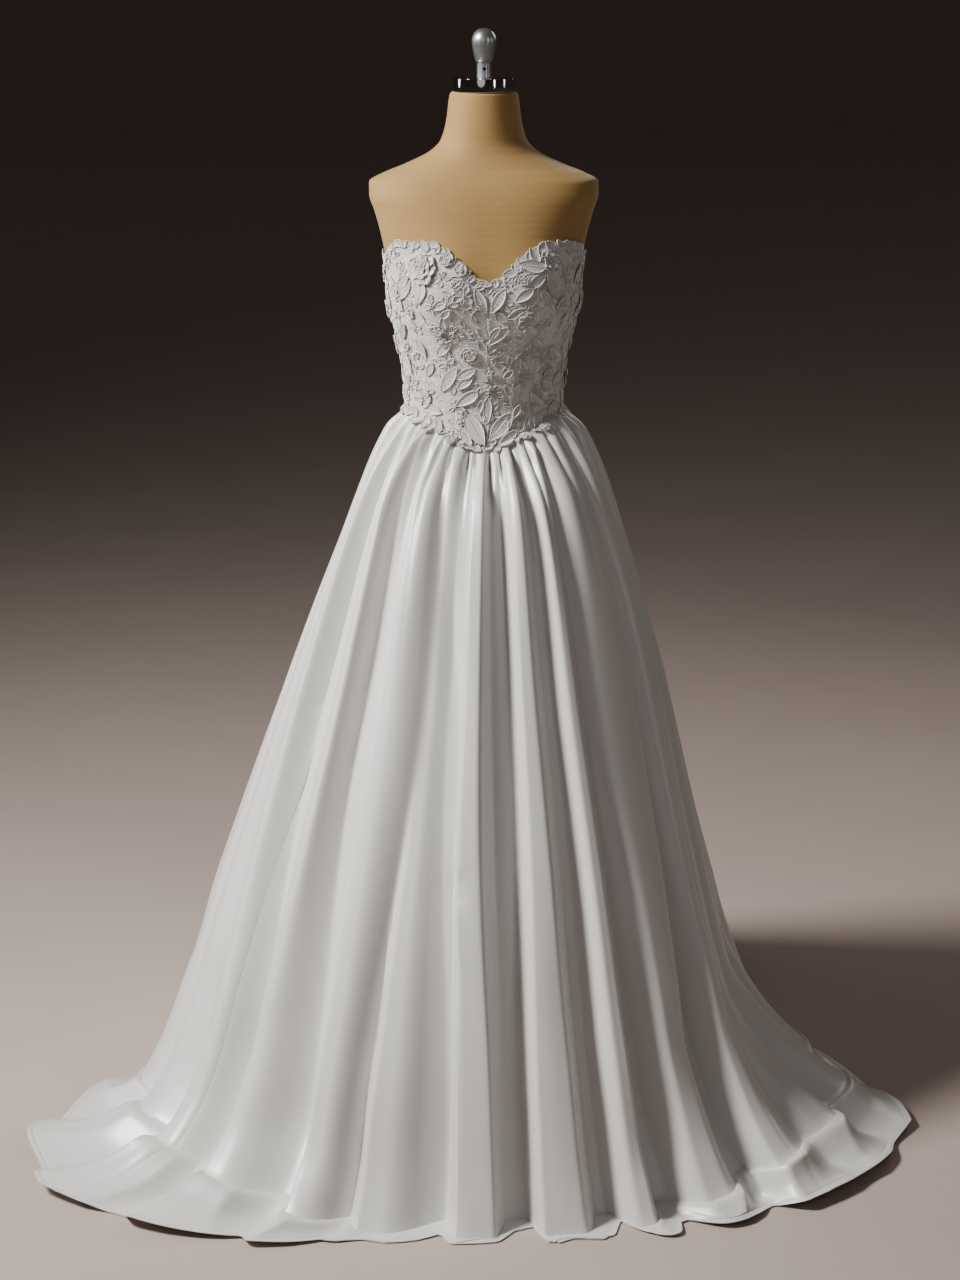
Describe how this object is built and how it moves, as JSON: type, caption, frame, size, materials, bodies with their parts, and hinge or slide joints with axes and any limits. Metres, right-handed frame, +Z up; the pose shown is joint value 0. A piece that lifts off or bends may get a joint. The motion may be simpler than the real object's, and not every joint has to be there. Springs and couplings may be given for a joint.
{
  "type": "wedding dress on dress form",
  "caption": "Strapless wedding dress with a lace sweetheart bodice, basque waist and gathered satin skirt with a train, on a limbless dress form with a neck cap and knob.",
  "frame": {"origin": "centre of the stand base's flat underside, on the floor", "axes": "+Z up along the stand, -Y towards the dress's front, +X towards the wearer's left (the viewer's right)"},
  "size_m": [1.4103, 1.6545, 1.716],
  "materials": {
    "satin": "heavy satin, soft sheen",
    "lace": "corded lace over satin",
    "form_covering": "smooth stretched covering",
    "neck_chrome": "polished",
    "knob_metal": "satin",
    "stand_metal": "satin"
  },
  "bodies": {
    "root": {"form_torso": "form_covering", "neck_cap": "neck_chrome", "knob": "knob_metal", "stand_pole": "stand_metal", "stand_base": "stand_metal", "bodice_front_left": "lace", "bodice_front_right": "lace", "bodice_side_front_left": "lace", "bodice_side_front_right": "lace", "bodice_side_back_left": "lace", "bodice_side_back_right": "lace", "bodice_back_left": "lace", "bodice_back_right": "lace", "skirt_front": "satin", "skirt_side_left": "satin", "skirt_side_right": "satin", "skirt_back_left": "satin", "skirt_back_right": "satin", "lace_blossom_01": "lace", "lace_blossom_02": "lace", "lace_blossom_03": "lace", "lace_blossom_04": "lace", "lace_blossom_05": "lace", "lace_blossom_06": "lace", "lace_blossom_07": "lace", "lace_blossom_08": "lace", "lace_blossom_09": "lace", "lace_blossom_10": "lace", "lace_blossom_11": "lace", "lace_blossom_12": "lace", "lace_leaf_01": "lace", "lace_leaf_02": "lace", "lace_leaf_03": "lace", "lace_leaf_04": "lace", "lace_leaf_05": "lace", "lace_leaf_06": "lace", "lace_leaf_07": "lace", "lace_leaf_08": "lace", "lace_leaf_09": "lace", "lace_leaf_10": "lace", "lace_leaf_11": "lace", "lace_leaf_12": "lace", "lace_leaf_13": "lace", "lace_leaf_14": "lace", "lace_leaf_15": "lace", "lace_leaf_16": "lace", "lace_leaf_17": "lace", "lace_leaf_18": "lace"}
  },
  "joints": []
}
